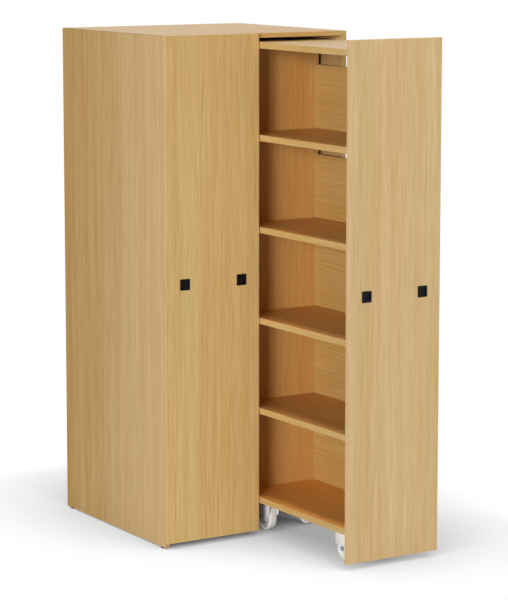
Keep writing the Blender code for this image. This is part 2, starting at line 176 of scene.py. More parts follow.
class CastorSizes(bpy.types.PropertyGroup):
    """Sizes inside the box of a castor"""

    tread_round: a_length(
        name="Tread round", description="Radius of the tread's shoulders",
        min=0.001, max=0.015, default=0.006)
    rim_depth: a_length(
        name="Rim depth", description="From the tread to the sunk web",
        min=0.001, max=0.03, default=0.013)
    tread_width: a_length(
        name="Tread width", description="Width of the wheel over its tread",
        min=0.01, max=0.1, default=0.032)
    web: a_length(
        name="Web", description="Thickness of the sunk web", min=0.002, max=0.05, default=0.016)
    hub: a_length(
        name="Hub", description="Diameter of the hub", min=0.01, max=0.08, default=0.032)
    bore: a_length(
        name="Bore", description="Diameter of the wheel's bore",
        min=0.004, max=0.03, default=0.0108)
    axle: a_length(
        name="Axle", description="Diameter of the axle bolt",
        min=0.004, max=0.03, default=0.010)
    head: a_length(
        name="Bolt head", description="Across the flats of the bolt's head and nut",
        min=0.006, max=0.04, default=0.016)
    head_height: a_length(
        name="Head height", description="Height of the bolt's head and nut",
        min=0.002, max=0.02, default=0.006)
    sheet: a_length(
        name="Sheet", description="Thickness of the fork's and the plate's sheet",
        min=0.001, max=0.01, default=0.003)
    bend: a_length(
        name="Bend", description="Outer radius of the fork's two bends",
        min=0.001, max=0.02, default=0.006)
    fork_room: a_length(
        name="Fork room", description="Between the inner faces of the legs",
        min=0.01, max=0.1, default=0.040)
    leg_length: a_length(
        name="Leg length", description="Length of a leg at the crown",
        min=0.02, max=0.2, default=0.098)
    leg_straight: a_length(
        name="Leg straight", description="How far a leg goes down before it tapers",
        min=0, max=0.1, default=0.064)
    leg_end: a_length(
        name="Leg end", description="Radius of a leg round the axle",
        min=0.005, max=0.03, default=0.015)
    plate_corner: a_length(
        name="Plate corner", description="Corner radius of the top plate",
        min=0.001, max=0.03, default=0.005)
    screw_inset: a_length(
        name="Screw inset", description="From a screw's middle to the plate's edges",
        min=0.005, max=0.03, default=0.010)
    screw_length: a_length(
        name="Screw length", description="How far a screw goes into the board",
        min=0.005, max=0.03, default=0.016)
    segments: IntProperty(
        name="Segments", description="Facets round the wheel", min=24, max=160, default=72)


class StageLook(bpy.types.PropertyGroup):
    """Floor, light and camera"""

    floor: a_colour(
        name="Floor", description="Colour of the floor", default=(0.5, 0.5, 0.5))
    floor_glow: FloatProperty(
        name="Floor glow", description="White of the floor in the camera where nothing shades it",
        min=0, max=5, default=1.10)
    floor_share: a_share(
        name="Glow share", description="Share of that glow in what the camera sees of the floor",
        default=0.9)
    halo_reach: a_length(
        name="Halo reach", description="How far the soft shadow all round the cabinet reaches",
        min=0, max=5, default=0.45)
    halo_share: a_share(
        name="Halo share", description="Share of the floor's white that this shadow takes away",
        default=0.17)
    cast_reach: a_length(
        name="Cast reach", description="How far the soft shadow back to the right reaches",
        min=0, max=5, default=0.7)
    cast_heading: an_angle(
        name="Cast heading", description="Turn to the left of where this shadow falls from",
        min=-math.pi, max=math.pi, default=math.radians(38))
    cast_height: an_angle(
        name="Cast height", description="Angle over the floor that this shadow falls from",
        min=0, max=math.pi / 2, default=math.radians(30))
    cast_share: a_share(
        name="Cast share", description="Share of the floor's white that this shadow takes away",
        default=0.63)
    cast_curve: FloatProperty(
        name="Cast curve", description="Below 1, this shadow starts further out and fades faster",
        min=0.1, max=4, default=0.7)
    cast_open: a_share(
        name="Cast open", description="Share of the sky on that side that the open floor sees",
        default=0.82)
    dark_reach: a_length(
        name="Dark reach", description="How far the carcass keeps light from the floor in it",
        min=0, max=5, default=2.5)
    dark_limit: a_share(
        name="Dark limit", description="Share of open sky below which the floor gets dark",
        default=0.06)
    sky: FloatProperty(
        name="Sky", description="Strength of the even light from all round",
        min=0, max=5, default=0.05)
    key: FloatProperty(
        name="Key", description="Strength of the low lamp from the front and left",
        min=0, max=20, default=2.55)
    key_softness: an_angle(
        name="Key softness", description="How wide that lamp looks from the cabinet",
        min=0, max=math.pi, default=math.radians(17))
    key_heading: an_angle(
        name="Key heading", description="Turn of that lamp from straight in front to the left",
        min=-math.pi, max=math.pi, default=math.radians(49.5))
    key_height: an_angle(
        name="Key height", description="Angle of that lamp over the floor",
        min=0, max=math.pi / 2, default=math.radians(6))
    fill: FloatProperty(
        name="Fill", description="Strength of the lamp from the front",
        min=0, max=20, default=0.85)
    fill_softness: an_angle(
        name="Fill softness", description="How wide that lamp looks from the cabinet",
        min=0, max=math.pi, default=math.radians(20))
    fill_height: an_angle(
        name="Fill height", description="Angle of that lamp over the floor",
        min=0, max=math.pi / 2, default=math.radians(1.5))
    top: FloatProperty(
        name="Top light", description="Strength of the soft lamp overhead",
        min=0, max=20, default=2.2)
    top_softness: an_angle(
        name="Top softness", description="How wide the lamp overhead looks from the cabinet",
        min=0, max=math.pi, default=math.radians(20))
    camera_place: FloatVectorProperty(
        name="Camera place", description="Where the camera stands",
        subtype="TRANSLATION", unit="LENGTH", default=(-4.8629, -7.8589, 2.3828))
    camera_heading: an_angle(
        name="Camera heading", description="Turn of the view from +Y towards +X",
        default=math.radians(31.969))
    camera_tilt: an_angle(
        name="Camera tilt", description="How far the camera looks down",
        default=math.radians(7.878))
    camera_lens: FloatProperty(
        name="Lens", description="Focal length in millimetres", min=1, max=500, default=144.95)
    camera_shift: FloatProperty(
        name="Shift", description="Vertical lens shift", min=-1, max=1, default=-0.08)


# Shader expressions

class Term:
    """A node's output in a shader expression: its operators add Math or Vector Math nodes."""

    def __init__(self, nodes, socket):
        self.nodes = nodes
        self.socket = socket

    def maths(self, operation, *terms):
        """Math on numbers, or Vector Math where one of the terms is a vector."""
        kind = "Math"
        if any(isinstance(term, Term) and term.socket.type == "VECTOR" for term in terms):
            kind = "VectorMath"
            terms = [(term,) * 3 if isinstance(term, (int, float)) else term for term in terms]
        return self.nodes.add(kind, {"operation": operation}, dict(enumerate(terms)))

    def __add__(self, other):
        return self.maths("ADD", self, other)

    def __radd__(self, other):
        return self.maths("ADD", other, self)

    def __sub__(self, other):
        return self.maths("SUBTRACT", self, other)

    def __rsub__(self, other):
        return self.maths("SUBTRACT", other, self)

    def __mul__(self, other):
        return self.maths("MULTIPLY", self, other)

    def __rmul__(self, other):
        return self.maths("MULTIPLY", other, self)

    def __truediv__(self, other):
        return self.maths("DIVIDE", self, other)

    def __pow__(self, other):
        return self.maths("POWER", self, other)

    def __abs__(self):
        return self.maths("ABSOLUTE", self)

    def __gt__(self, other):
        return self.maths("GREATER_THAN", self, other)


class Nodes:
    """A node tree that is being filled."""

    def __init__(self, tree):
        self.tree = tree

    def add(self, kind, settings=None, values=None, output=0):
        """A new node: its settings first, then the values or links of its sockets."""
        node = self.tree.nodes.new("ShaderNode" + kind)
        for name, value in (settings or {}).items():
            setattr(node, name, value)
        for name, value in (values or {}).items():
            self.give(node.inputs[name], value)
        return Term(self, node.outputs[output]) if node.outputs else None

    def give(self, socket, value):
        """Links a term to a socket, or sets the socket's own value."""
        if isinstance(value, Term):
            self.tree.links.new(value.socket, socket)
        elif socket.type == "RGBA":
            socket.default_value = (*value[:3], 1)
        else:
            socket.default_value = value

    def parts(self, vector):
        """The three components of a vector term."""
        node = self.tree.nodes.new("ShaderNodeSeparateXYZ")
        self.tree.links.new(vector.socket, node.inputs[0])
        return [Term(self, output) for output in node.outputs]

    def mix(self, factor, first, second):
        """Two colours, mixed."""
        return self.add("Mix", {"data_type": "RGBA"}, {0: factor, 6: first, 7: second}, 2)

    def blend(self, factor, first, second):
        """Two numbers, mixed."""
        return self.add("Mix", {"data_type": "FLOAT"}, {0: factor, 2: first, 3: second})

    def between(self, term, low, high):
        """0 below low, 1 above high and smooth between them."""
        return self.add("MapRange", {"interpolation_type": "SMOOTHSTEP"},
                        {"Value": term, "From Min": low, "From Max": high})

    def noise(self, vector, detail=2.0):
        """Soft noise from 0 to 1 whose features are about 1 apart."""
        return self.add("TexNoise", values={"Vector": vector, "Scale": 1.0, "Detail": detail})


class Finish(Nodes):
    """A material round one Principled BSDF."""

    def __init__(self, name, **constants):
        self.material = bpy.data.materials.new(name)
        self.material.use_nodes = True
        super().__init__(self.material.node_tree)
        self.shader = self.tree.nodes["Principled BSDF"]
        for socket, value in constants.items():
            self.set(socket.replace("_", " "), value)

    def set(self, socket, value):
        """Gives a socket of the shader its value or link."""
        self.give(self.shader.inputs[socket], value)

    def place(self):
        """Where a point is on the piece, in metres."""
        return self.add("TexCoord", output="Object")

    def facing(self):
        """Which way a face of the piece points."""
        return self.add("TexCoord", output="Normal")

    def bump(self, height, distance):
        """A fine relief of that height in metres."""
        self.set("Normal", self.add("Bump", values={"Height": height, "Distance": distance}))


# Finishes

NOISE_TO_UNIT = 7.0              # makes the spread of soft noise about 1
BEECH_GLOSS = 0.25               # specular level of the laminate
BLACK_GLOSS = 0.2                # specular level of the pulls and guide blocks

# The grain has streaks of four kinds, wide, line, fine and hair. These are their widths, as
# shares of the look's streak, and their lengths in metres
STREAKS = ((7.0, 2.0), (2.0, 0.6), (0.6, 0.3), (0.2, 0.12))
LINE_LIGHT, FINE_LIGHT, HAIR_LIGHT = 0.2, 0.35, 0.8  # what they do to the lightness
WIDE_TONE, LINE_TONE, LINE_HUE = 1.2, 0.5, 0.5  # and to the tone and the hue
THIN_FROM, THIN_TO, THIN_DARK = 0.6, 1.5, 1.5  # thin dark lines among the fine ones
THIN_MEAN = 0.18  # keeps the mean colour despite them
STRAY_ACROSS, STRAY_ALONG = 0.11, 0.35  # metres in which the grain strays
RING_WAVE, RING_RIPPLE, RING_SHIFT = 0.011, 0.3, 0.35  # how unevenly the growth rings lie
ARCH_DARK = 0.6  # how much darker an arch is
FLECK = (0.0009, 0.007)  # width and length of a ray fleck
FLECK_FROM, FLECK_TO = 1.1, 2.2  # how rare the flecks are
GRAIN_GLOSS, HAIR_RELIEF, GRAIN_RELIEF = 0.012, 0.2, 0.00003  # in its gloss and relief

# Plastic, paint and metal: what their clouds and marks do to the tone and the roughness
CLOUD = 0.022  # metres across
PLASTIC_TONES, CLOUD_TONE, TEXTURE_TONE = (1.06, 0.92), 0.8, 0.3
CLOUD_WEAR, TEXTURE_WEAR = 0.12, 0.08
METAL_TONES, MARKS_WEAR, MARKS_RELIEF = (1.08, 0.9), 0.25, 0.00002


def beech(name, mean, grain, across, look, contrast=1.0, figure=0.0, centre=0.0, painted_light_drift=(0, 0),
          banding=None):
    """Beech laminate with its grain along one axis, and banding on the edges of the board.

    Its arches are nested about a line at centre, and painted_light_drift paints light and
    shade: how much lighter and how much paler in tone the board gets in a metre across the
    grain. The banding has the mean colour too if it gets none of its own.
    """
    thick = 3 - grain - across
    finish = Finish(name, Specular_IOR_Level=BEECH_GLOSS)
    at, facing = finish.parts(finish.place()), finish.parts(finish.facing())
    end = abs(facing[grain]) > 0.5
    face = abs(facing[thick]) > 0.5
    # the banding on a board's ends has its grain along the edge
    along = finish.blend(end, at[grain], at[across])
    side = finish.blend(end, at[across], at[grain])

    stray = finish.add("CombineXYZ", values={0: side / STRAY_ACROSS, 1: along / STRAY_ALONG,
                                             2: at[thick] / STRAY_ACROSS})
    strayed = side + (finish.noise(stray, detail=1.0) - 0.5) * (NOISE_TO_UNIT * look.wander)

    def streaks(width, length, detail=2.0):
        """Two fields of long streaks, one for lightness and one for hue."""
        vector = finish.add("CombineXYZ", values={0: strayed / width, 1: along / length,
                                                  2: at[thick] / width})
        fields = finish.add("TexNoise", values={"Vector": vector, "Scale": 1.0,
                                                "Detail": detail}, output="Color")
        return [(part - 0.5) * NOISE_TO_UNIT for part in finish.parts(fields)[:2]]

    wide, line, fine, hair = (streaks(look.streak * share, length) for share, length in STREAKS)
    thin = finish.between(fine[1], THIN_FROM, THIN_TO)
    light = (line[0] * LINE_LIGHT + fine[0] * FINE_LIGHT + hair[0] * HAIR_LIGHT
             - thin * THIN_DARK + THIN_MEAN)
    tone = wide[0] * WIDE_TONE + line[0] * LINE_TONE
    # growth rings cut nearly flat make arches one inside another
    offset = strayed - centre
    depth = along * look.arch_slope + (wide[1] + line[0] * RING_RIPPLE) * RING_WAVE
    rings = (offset * offset + depth * depth) ** 0.5 / look.arch + wide[0] * RING_SHIFT
    arch = finish.add("Math", {"operation": "SINE"}, {0: rings * math.tau}) * 0.5 + 0.5
    arch = arch * arch * face * figure
    fleck = finish.between(streaks(*FLECK, detail=1.0)[0], FLECK_FROM, FLECK_TO) * face
    # painted light and shade: lighter and paler in tone across the grain, by the drift
    light = (light + (side - centre) * painted_light_drift[0] * face) * contrast - arch * ARCH_DARK - fleck
    tone = (tone + (side - centre) * painted_light_drift[1] * face) * contrast - arch
    hue = wide[1] + line[1] * LINE_HUE
    steps = [finish.add("VectorMath", {"operation": "SCALE"}, {0: step, "Scale": share})
             for step, share in ((look.lightness_steps, light * look.contrast),
                                 (look.tone_steps, tone * look.contrast),
                                 (look.hue_steps, hue * look.contrast))]
    shares = steps[0] + steps[1] + steps[2] + 1.0
    finish.set("Base Color", finish.mix(face, shares * tuple(banding or mean),
                                        shares * tuple(mean)))
    finish.set("Roughness", look.roughness - light * GRAIN_GLOSS)
    finish.bump(hair[0] * HAIR_RELIEF - fleck, GRAIN_RELIEF)
    return finish.material


def moulded(name, colour, roughness, texture, relief, **constants):
    """Moulded plastic or paint: a fine even texture, and a little wear in its gloss."""
    finish = Finish(name, **constants)
    place = finish.place()
    fine = finish.noise(place / texture) - 0.5
    cloud = finish.noise(place / CLOUD, detail=3.0) - 0.5
    finish.set("Base Color", finish.mix(0.5 + cloud * CLOUD_TONE + fine * TEXTURE_TONE,
                                        *(times(colour, tone) for tone in PLASTIC_TONES)))
    finish.set("Roughness", roughness + cloud * CLOUD_WEAR + fine * TEXTURE_WEAR)
    finish.bump(fine, relief)
    return finish.material


def metal(name, colour, roughness, pitch, bare=1.0, gloss=0.5):
    """Metal with marks a pitch apart along each axis. A coloured skin makes it less bare."""
    finish = Finish(name, Metallic=bare, Specular_IOR_Level=gloss)
    vector = finish.add("VectorMath", {"operation": "DIVIDE"}, {0: finish.place(), 1: pitch})
    marks = finish.noise(vector, detail=3.0) - 0.5
    finish.set("Base Color", finish.mix(0.5 + marks,
                                        *(times(colour, tone) for tone in METAL_TONES)))
    finish.set("Roughness", roughness + marks * MARKS_WEAR)
    finish.bump(marks, MARKS_RELIEF)
    return finish.material


def paint_nodes(material, *names):
    """Gives modelled solids, which keep their shape, their finish."""
    for name in names:
        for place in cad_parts[name].material_slots:
            place.material = material


# Shapes

SOFTENED_ANGLE = math.radians(40)    # edges that turn more than this are rounded
SHARP_ANGLE = math.radians(35)       # and those that turn more than this stay crisp
BEND_STEPS = 6                       # facets of a quarter round


def circle(radius, steps):
    """Points of a circle round the origin."""
    turns = [math.tau * step / steps for step in range(steps)]
    return [(radius * math.cos(turn), radius * math.sin(turn)) for turn in turns]


def arc(centre, radius, start, end, steps):
    """Points of an arc in a plane, from one angle to another."""
    return [(centre[0] + radius * math.cos(start + (end - start) * step / steps),
             centre[1] + radius * math.sin(start + (end - start) * step / steps))
            for step in range(steps + 1)]


def rounded(width, height, corner, steps=5):
    """Outline of a rectangle with rounded corners, round the origin."""
    points = []
    for quarter, (right, up) in enumerate(((1, 1), (-1, 1), (-1, -1), (1, -1))):
        centre = (right * (width / 2 - corner), up * (height / 2 - corner))
        start = quarter * math.pi / 2
        points += arc(centre, corner, start, start + math.pi / 2, steps)
    return points


def raised(axis, outline, height):
    """An outline in the plane across an axis, at a height along that axis."""
    order = {X: lambda u, v: (height, u, v),
             Y: lambda u, v: (u, height, v),
             Z: lambda u, v: (u, v, height)}[axis]
    return [Vector(order(u, v)) for u, v in outline]


def skin(bm, rings, endless=False):
    """A skin over rings of equally many points: capped at both ends, or closed on itself."""
    rows = [[bm.verts.new(point) for point in ring] for ring in rings]
    pairs = list(zip(rows, rows[1:]))
    if endless:
        pairs.append((rows[-1], rows[0]))
    else:
        bm.faces.new(rows[0])
        bm.faces.new(rows[-1])
    for low, high in pairs:
        for one, other, above, over in zip(low, low[1:] + low[:1], high, high[1:] + high[:1]):
            bm.faces.new((one, other, over, above))
    return bm


def slab(axis, outline, start, end):
    """A bmesh of an outline that goes from one height to another along an axis."""
    return skin(bmesh.new(), [raised(axis, outline, start), raised(axis, outline, end)])


def turned(bm, axis, profile, steps, middle=(0, 0, 0), endless=False):
    """A profile of (height, radius) points turned about an axis through middle."""
    rings = [raised(axis, circle(radius, steps), height) for height, radius in profile]
    return skin(bm, [[point + Vector(middle) for point in ring] for ring in rings], endless)


def placed(name, data, middle=(0, 0, 0)):
    """A new object in the scene."""
    made = bpy.data.objects.new(name, data)
    made.location = middle
    bpy.context.scene.collection.objects.link(made)
    return made


def raw_piece(name, bm, middle=(0, 0, 0)):
    """An object of a bmesh, not yet finished."""
    bmesh.ops.recalc_face_normals(bm, faces=bm.faces)
    mesh = bpy.data.meshes.new(name)
    bm.to_mesh(mesh)
    bm.free()
    return placed(name, mesh, middle)


def apply_modifiers(piece):
    """Makes what a piece's modifiers do its own mesh."""
    depsgraph = bpy.context.evaluated_depsgraph_get()
    mesh = bpy.data.meshes.new_from_object(piece.evaluated_get(depsgraph))
    mesh.name = piece.name
    piece.modifiers.clear()
    piece.data = mesh


def combine(piece, operation, *shapes):
    """Joins shapes to a piece, cuts them away or keeps only what is in them."""
    tools = []
    for bm in shapes:
        tool = raw_piece("tool", bm, piece.location)
        tools.append(tool)
        change = piece.modifiers.new("combine", "BOOLEAN")
        change.operation = operation
        change.solver = "EXACT"
        change.object = tool
    apply_modifiers(piece)
    for tool in tools:
        bpy.data.objects.remove(tool, do_unlink=True)


def soften(piece, width):
    """Rounds the sharp edges of a piece."""
    bevel = piece.modifiers.new("edges", "BEVEL")
    bevel.width = width
    bevel.segments = 2
    bevel.limit_method = "ANGLE"
    bevel.angle_limit = SOFTENED_ANGLE
    apply_modifiers(piece)


def finished(piece, material):
    """Shades a piece smooth between its sharp edges and gives it its material."""
    piece.data.shade_smooth()
    piece.data.set_sharp_from_angle(angle=SHARP_ANGLE)
    piece.data.materials.clear()
    piece.data.materials.append(material)
    return piece


def settle(piece, body, slot, *nodes):
    """Lets a placed piece ride on its body, in the place of nodes of the model."""
    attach(piece, body)
    if nodes:
        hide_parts(*nodes)


def repeat(bodies, ending, anchor, slot, shape, material):
    """A finished piece in the place of each node, all of one mesh.

    bodies gives the body that carries each node, and anchor the point of a node's box where
    its piece is placed, from 0 to 1 along each axis. shape makes the mesh from a box's size.
    """
    source = None
    for node, body in bodies.items():
        low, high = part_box(node)
        middle = low + (high - low) * Vector(anchor)
        if source:
            piece = placed(node + ending, source.data, middle)
        else:
            piece = source = finished(raw_piece(node + ending, shape(high - low), middle),
                                      material)
        settle(piece, body, slot, node)


# Steps

class Step(bpy.types.Operator):
    """One step of the making, done by its make method"""

    bl_options = {"REGISTER", "UNDO"}

    def execute(self, context):
        self.make(context.scene)
        return {"FINISHED"}


class CABINET_OT_carcass(Step):
    """Finish the two side panels, the top and the back"""

    bl_idname = "cabinet.carcass"
    bl_label = "Carcass"

    def make(self, scene):
        look = scene.cabinet_beech
        # painted light: the side panels get lighter towards the front, and a little paler in tone
        # towards the back
        side = beech("beech_side", look.carcass, Z, Y, look, figure=0.3, centre=0.35,
                     painted_light_drift=(-6.5, 1.5))
        paint_nodes(side, "side_panel_left", "side_panel_right")
        paint_nodes(beech("beech_top", look.carcass, X, Y, look, contrast=0.8), "top_panel")
        paint_nodes(beech("beech_back", look.carcass, Z, X, look, figure=0.4), "back_panel")


class CABINET_OT_fronts(Step):
    """Finish the two front panels"""

    bl_idname = "cabinet.fronts"
    bl_label = "Fronts"

    EDGE = 1.18  # how much paler the left front's edges are than its face

    def make(self, scene):
        look = scene.cabinet_beech
        # painted shade: the left front's tone grows warmer towards its right edge, where the
        # pulled-out unit shades it
        left = beech("beech_left_front", look.left_front, Z, X, look, contrast=0.85, figure=0.5,
                     centre=-0.1, painted_light_drift=(0, -6), banding=times(look.left_front, self.EDGE))
        paint_nodes(left, "left_front_panel")
        right = beech("beech_right_front", look.right_front, Z, X, look, contrast=0.72,
                      figure=0.3, centre=0.15)
        paint_nodes(right, "right_front_panel")


class CABINET_OT_shelves(Step):
    """Finish the boards of both pull-out units"""

    bl_idname = "cabinet.shelves"
    bl_label = "Shelves"

    # painted shade: how far a board's face is from the mean colour inside, in red, green and
    # blue, for the shade it gets in its place
    SIDE_FACE, REAR_FACE = (0.93, 1.01, 1.0), (0.94, 0.88, 0.79)
    # the flat boards, by a part of their names: their faces, lighter or darker as painted light
    # and shade, and the painted light on their edges
    FLAT_BOARDS_LIGHT_AND_SHADE = (("_shelf_", (1.04, 0.92, 0.8), 1.0),
                   ("_top_board", (0.91, 1.05, 1.27), 1.04),
                   ("_bottom_board", (1.46, 1.26, 0.87), 0.96))

    def make(self, scene):
        look = scene.cabinet_beech
        # the side boards and the rear panels carry painted shade in their face colours
        side = beech("beech_side_board", times(look.inside, *self.SIDE_FACE), Y, Z, look,
                     contrast=0.6, figure=0.7, centre=0.63)
        rear = beech("beech_rear_painted_shade", times(look.inside, *self.REAR_FACE), Z, X, look, contrast=0.8)
        for unit in UNITS:
            boards = [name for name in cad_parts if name.startswith(unit)]
            paint_nodes(side, *(name for name in boards if "_side_board_" in name))
            paint_nodes(rear, unit + "_rear_panel")
        # the flat boards carry painted light and shade in their face and edge colours
        for part, face, light in self.FLAT_BOARDS_LIGHT_AND_SHADE:
            flat = beech("beech" + part.rstrip("_"), times(look.inside, *face), Y, X, look,
                         contrast=0.8, banding=times(look.banding, light))
            paint_nodes(flat, *(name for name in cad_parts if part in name))


class CABINET_OT_guides(Step):
    """Finish the guide channels, and mould the blocks that run in them"""

    bl_idname = "cabinet.guides"
    bl_label = "Guides"

    def make(self, scene):
        look = scene.cabinet_fittings
        # painted shade: the channels are near black so that they sink into the dark gap under the
        # top
        drawn = metal("aluminium_painted_dark", look.aluminium, roughness=0.6,
                      pitch=(0.0006, 0.2, 0.0006), bare=0.0, gloss=0.1)
        paint_nodes(drawn, "guide_channel_left", "guide_channel_right")
        # painted shade: the blocks are black, not the white of nylon, so that they sink into the
        # dark gap under the top
        nylon = moulded("nylon_block_painted_dark", look.black_plastic, roughness=0.5, texture=0.0012,
                        relief=0.00003, Specular_IOR_Level=BLACK_GLOSS)
        for unit in UNITS:
            low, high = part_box(unit + "_guide_block")
            size = high - low
            half = size.z / 2
            # round ends in plan, with a small round along its upper and lower edges
            ease, slight = 0.8 * MM, 0.2 * MM
            steps = [(-half, ease), (slight - half, slight), (ease - half, 0),
                     (half - ease, 0), (half - slight, slight), (half, ease)]
            rings = [raised(Z, rounded(size.x - 2 * inset, size.y - 2 * inset,
                                       size.x / 2 - inset, steps=10), height)
                     for height, inset in steps]
            piece = raw_piece(unit + "_guide_block_moulded", skin(bmesh.new(), rings),
                              (low + high) / 2)
            settle(finished(piece, nylon), unit + "_pullout", "black_plastic",
                   unit + "_guide_block")


class CABINET_OT_pulls(Step):
    """Mould the four square pulls in the fronts"""

    bl_idname = "cabinet.pulls"
    bl_label = "Pulls"

    def make(self, scene):
        plastic = moulded("plastic_pull", scene.cabinet_fittings.black_plastic, roughness=0.5,
                          texture=0.0009, relief=0.00004, Specular_IOR_Level=BLACK_GLOSS)
        bodies = {f"{unit}_pull_{number}": unit + "_pullout"
                  for unit in UNITS for number in (1, 2)}
        repeat(bodies, "_cup", (0.5, 0, 0.5), "black_plastic", self.cup, plastic)

    def cup(self, size):
        """Rings from the cup's floor out under its rim, over the flange and round the back."""
        half, back = size.x / 2, size.y
        flange, lip, wall, rim = 1.5 * MM, 3.5 * MM, 1.5 * MM, 2 * MM
        behind = flange + 0.3 * MM
        body, hollow, mouth = half - lip, half - lip - wall, half - lip - wall - rim
        floor = back - wall
        steps = [(floor, hollow - 1.6 * MM), (floor - 0.4 * MM, hollow - 0.6 * MM),
                 (floor - 1.4 * MM, hollow), (behind + 0.8 * MM, hollow),
                 (behind + 0.2 * MM, hollow - 0.2 * MM), (behind, hollow - 0.8 * MM),
                 (behind, mouth + 0.4 * MM), (behind - 0.4 * MM, mouth), (0.8 * MM, mouth),
                 (0.2 * MM, mouth + 0.2 * MM), (0, mouth + 0.8 * MM), (0, half - 1.2 * MM),
                 (0.15 * MM, half - 0.5 * MM), (0.6 * MM, half - 0.05 * MM), (0.9 * MM, half),
                 (flange, half), (flange, body), (back - 0.8 * MM, body),
                 (back - 0.2 * MM, body - 0.2 * MM), (back, body - 0.9 * MM)]
        corner, tighter = 3 * MM, 0.12  # at the flange, and how it shrinks further in
        return skin(bmesh.new(), [
            raised(Y, rounded(2 * out, 2 * out, corner - (half - out) * tighter), depth)
            for depth, out in steps])


class CABINET_OT_forks(Step):
    """Bend the castors' forks, and fit their axle bolts and plate screws"""

    bl_idname = "cabinet.forks"
    bl_label = "Castor forks"

    def make(self, scene):
        look, sizes = scene.cabinet_fittings, scene.cabinet_castors
        paint = moulded("paint_fork", look.white_paint, roughness=0.32, texture=0.0016,
                        relief=0.00003)
        zinc = metal("zinc_plated", look.zinc, roughness=0.3, pitch=(0.0015, 0.0015, 0.0015))
        kinds = {"sheet": (self.sheet, paint, "white_steel"),
                 "axle_bolt": (self.axle_bolt, zinc, None),
                 "plate_screws": (self.plate_screws, zinc, None)}
        sources = {}
        for unit in UNITS:
            for castor in CASTORS:
                node = f"{unit}_castor_{castor}_fork"
                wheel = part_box(f"{unit}_castor_{castor}_wheel")
                axle = (wheel[0] + wheel[1]) / 2
                low, high = (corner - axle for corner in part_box(node))
                for kind, (make, material, slot) in kinds.items():
                    if kind in sources:
                        piece = placed(f"{node}_{kind}", sources[kind].data, axle)
                    else:
                        piece = make(f"{node}_{kind}", axle, low, high, sizes)
                        sources[kind] = finished(piece, material)
                    settle(piece, unit + "_pullout", slot, node)

    def leg(self, top, sizes):
        """Outline of a leg: upright edges, then a taper that touches its round end."""
        half, radius = sizes.leg_length / 2, sizes.leg_end
        corner = Vector((half, top - sizes.leg_straight))
        touch = math.atan2(corner.y, corner.x) - math.acos(radius / corner.length)
        return ([(half, top + PAST), (half, corner.y)]
                + arc((0, 0), radius, touch, -math.pi - touch, steps=28)
                + [(-half, corner.y), (-half, top + PAST)])

    def sheet(self, name, axle, low, high, sizes):
        """The plate with the sheet under it that is bent down on both sides of the wheel."""
        plate = high.z - sizes.screw_length
        crown = plate - sizes.sheet
        outer = sizes.fork_room / 2 + sizes.sheet
        foot = -sizes.leg_end - PAST
        bend, thin = sizes.bend, sizes.bend - sizes.sheet
        level, middle = crown - bend, outer - bend
        right, up, left = 0, math.pi / 2, math.pi
        bent = ([(-outer, foot)] + arc((-middle, level), bend, left, up, BEND_STEPS)
                + arc((middle, level), bend, up, right, BEND_STEPS)
                + [(outer, foot), (outer - sizes.sheet, foot)]
                + arc((middle, level), thin, right, up, BEND_STEPS)
                + arc((-middle, level), thin, up, left, BEND_STEPS)
                + [(sizes.sheet - outer, foot)])
        reach = sizes.leg_length / 2 + PAST
        piece = raw_piece(name, slab(Y, bent, -reach, reach), axle)
        combine(piece, "INTERSECT", slab(X, self.leg(crown, sizes), -2 * outer, 2 * outer))
        outline = rounded(high.x - low.x, high.y - low.y, sizes.plate_corner)
        combine(piece, "UNION", slab(Z, outline, crown - MEET, plate))
        soften(piece, 0.5 * MM)
        return piece

    def axle_bolt(self, name, axle, low, high, sizes):
        """The bolt's shank, and its head and nut, each with worn corners on a thin washer."""
        outer, shank = sizes.fork_room / 2 + sizes.sheet, sizes.axle / 2
        end = outer + sizes.head_height
        tip, chamfer, nut_end = end - 1.6 * MM, 0.8 * MM, end - 2.8 * MM
        bm = turned(bmesh.new(), X, [(-outer, shank), (end - 2.2 * MM, shank),
                                     (tip, shank - chamfer)], steps=40)
        corner = sizes.head / math.sqrt(3)
        for start, finish in ((-outer, -end), (outer, nut_end)):
            worn = (finish - start) * 0.16
            turned(bm, X, [(start, corner * 0.95), (start + worn, corner),
                           (finish - worn, corner), (finish, corner * 0.93)], steps=6)
            washer, edge = math.copysign(0.2 * MM, start), corner * 0.99
            turned(bm, X, [(start - washer, edge), (start + washer, edge)], steps=32)
        return raw_piece(name, bm, axle)

    def plate_screws(self, name, axle, low, high, sizes):
        """Four pan-head screws with a cross recess, under the corners of the plate."""
        seat = high.z - sizes.screw_length - sizes.sheet
        # from the point in the board down the shank, and over the head
        profile = [(high.z, 0.4 * MM), (high.z - 3 * MM, 2.4 * MM), (high.z - 5 * MM, 2.9 * MM),
                   (seat, 3 * MM), (seat, 5.9 * MM), (seat - 1.1 * MM, 5.8 * MM),
                   (seat - 2.0 * MM, 5.0 * MM), (seat - 2.6 * MM, 3.6 * MM),
                   (seat - 2.9 * MM, 1.8 * MM), (seat - 3 * MM, 0.3 * MM)]
        across, along, deep = 1 * MM, 5.4 * MM, 1.4 * MM  # one arm of the cross recess
        heads, recesses = bmesh.new(), []
        for right in (-1, 1):
            for back in (-1, 1):
                at = Vector((right * ((high.x - low.x) / 2 - sizes.screw_inset),
                             back * ((high.y - low.y) / 2 - sizes.screw_inset), 0))
                turned(heads, Z, profile, 28, at)
                for width, height in ((across, along), (along, across)):
                    outline = rounded(width, height, corner=0.2 * MM, steps=2)
                    recesses.append(skin(bmesh.new(), [
                        [point + at for point in raised(Z, outline, seat - down)]
                        for down in (PAST, deep)]))
        piece = raw_piece(name, heads, axle)
        combine(piece, "DIFFERENCE", *recesses)
        return piece


